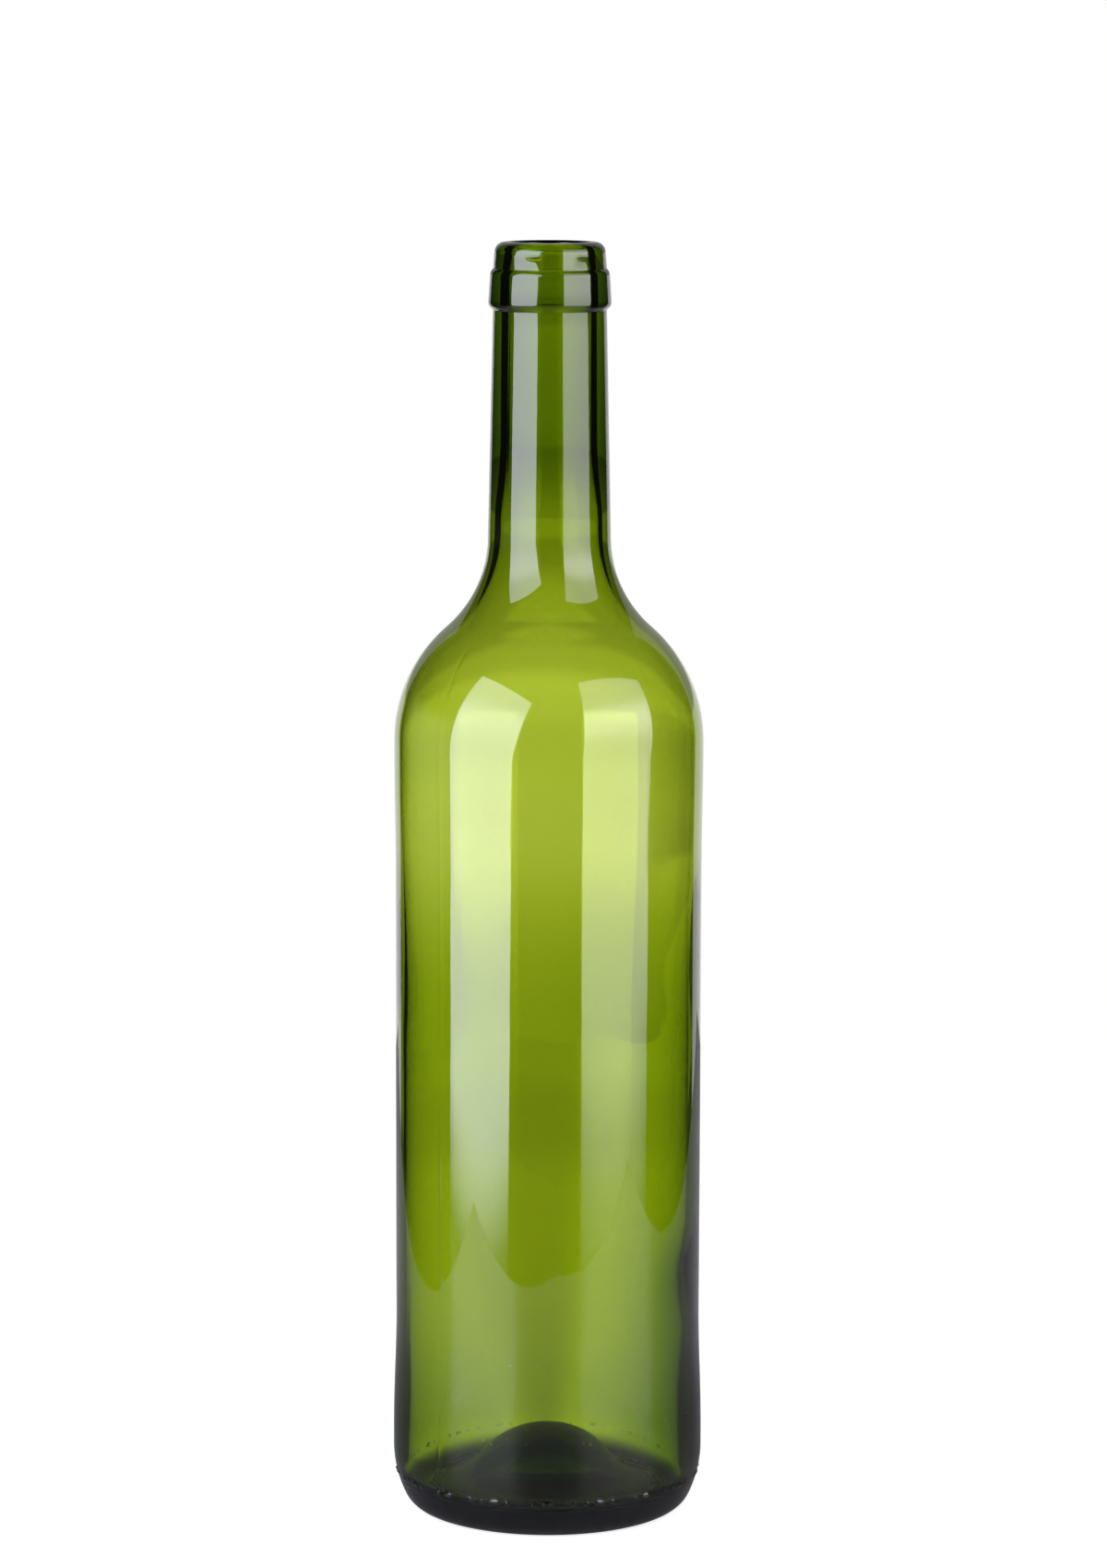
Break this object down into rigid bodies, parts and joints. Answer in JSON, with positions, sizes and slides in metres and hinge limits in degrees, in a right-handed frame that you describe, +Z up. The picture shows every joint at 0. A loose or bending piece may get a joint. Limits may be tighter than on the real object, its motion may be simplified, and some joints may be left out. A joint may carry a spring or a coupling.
{
  "type": "wine bottle",
  "caption": "Empty green glass bottle: straight round body, high shoulder, long neck, banded open mouth, and a hollow punt inside a narrow flat foot ring.",
  "frame": {"origin": "centre of the foot ring, in the plane that the bottle stands on", "axes": "+Z up along the bottle's axis, from the foot to the mouth"},
  "size_m": [0.075, 0.075, 0.307],
  "materials": {
    "green_glass": "clear gloss"
  },
  "bodies": {
    "root": {"glass_bottle": "green_glass"}
  },
  "joints": []
}
